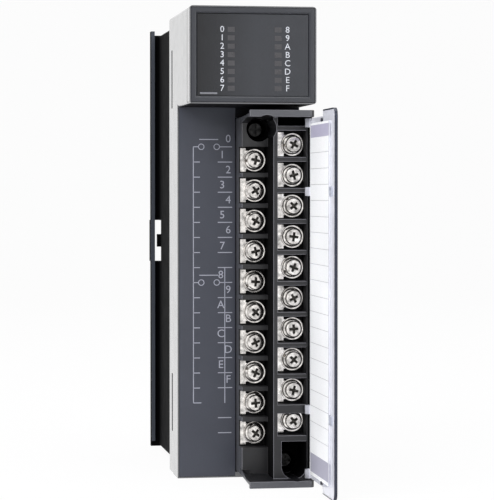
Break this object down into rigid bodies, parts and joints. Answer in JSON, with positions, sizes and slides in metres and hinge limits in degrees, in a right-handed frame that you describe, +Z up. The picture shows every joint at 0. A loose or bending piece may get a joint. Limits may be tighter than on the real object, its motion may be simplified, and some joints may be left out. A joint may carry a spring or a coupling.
{
  "type": "programmable controller input module",
  "caption": "Slim rack module with an indicator head, a wiring diagram panel, a plug-in two-level screw terminal block and a hinged clear cover shown open.",
  "frame": {"origin": "middle of the rear mounting face, at half the height of the module", "axes": "+Y out of the rear face towards the rack, -Y towards the operator, +Z up, +X to the operator's right"},
  "size_m": [0.0345, 0.1263, 0.13],
  "materials": {
    "grey_case": "fine moulded grain",
    "black_case": "fine moulded grain",
    "charcoal": "satin",
    "smoked_window": "smoked, smooth",
    "clear_guide": "clear, smooth",
    "lamp": "diffusing",
    "board": "laminate",
    "slate": "printed satin",
    "block_black": "satin",
    "nickel": "plated",
    "zinc": "plated",
    "brass": "turned",
    "tinned": "tinned",
    "link_black": "moulded",
    "chip_black": "moulded",
    "connector_grey": "moulded",
    "gold": "plated",
    "clear_cover": "clear, smooth",
    "card": "smooth card"
  },
  "bodies": {
    "module": {"front_case": "grey_case", "rear_case": "black_case", "indicator_bezel": "charcoal", "indicator_window": "smoked_window", "light_guide": "clear_guide", "indicator_leds": "lamp", "indicator_board": "board", "label_panel": "slate", "insert_nuts": "brass", "block_socket": "block_black", "main_board": "board", "terminal_board": "board", "board_link": "link_black", "input_couplers": "chip_black", "input_resistors": "chip_black", "interface_chips": "chip_black", "backplane_connector": "connector_grey", "connector_pins": "gold"},
    "terminal_block": {"terminal_block_body": "block_black", "terminal_plates_left": "nickel", "terminal_plates_right": "nickel", "clamp_washers_left": "nickel", "clamp_washers_right": "nickel", "terminal_screws_left": "nickel", "terminal_screws_right": "nickel", "plug_contacts": "tinned"},
    "upper_screw": {"upper_block_screw": "zinc", "upper_screw_clip": "zinc"},
    "lower_screw": {"lower_block_screw": "zinc", "lower_screw_clip": "zinc"},
    "cover": {"terminal_cover": "clear_cover", "label_sheet": "card"}
  },
  "joints": [
    {"name": "block_plug", "type": "slide", "parent": "module", "child": "terminal_block", "axis": [0, -1, 0], "range_m": [0, 0.025]},
    {"name": "upper_screw_turn", "type": "hinge", "parent": "terminal_block", "child": "upper_screw", "pos_m": [0.00405, -0.0715, 0.0325], "axis": [0, 1, 0], "continuous": true},
    {"name": "lower_screw_turn", "type": "hinge", "parent": "terminal_block", "child": "lower_screw", "pos_m": [0.01235, -0.0715, -0.0599], "axis": [0, 1, 0], "continuous": true},
    {"name": "cover_hinge", "type": "hinge", "parent": "terminal_block", "child": "cover", "pos_m": [0.0162, -0.0889, 0], "axis": [0, 0, 1], "range_deg": [-90, 25]}
  ]
}
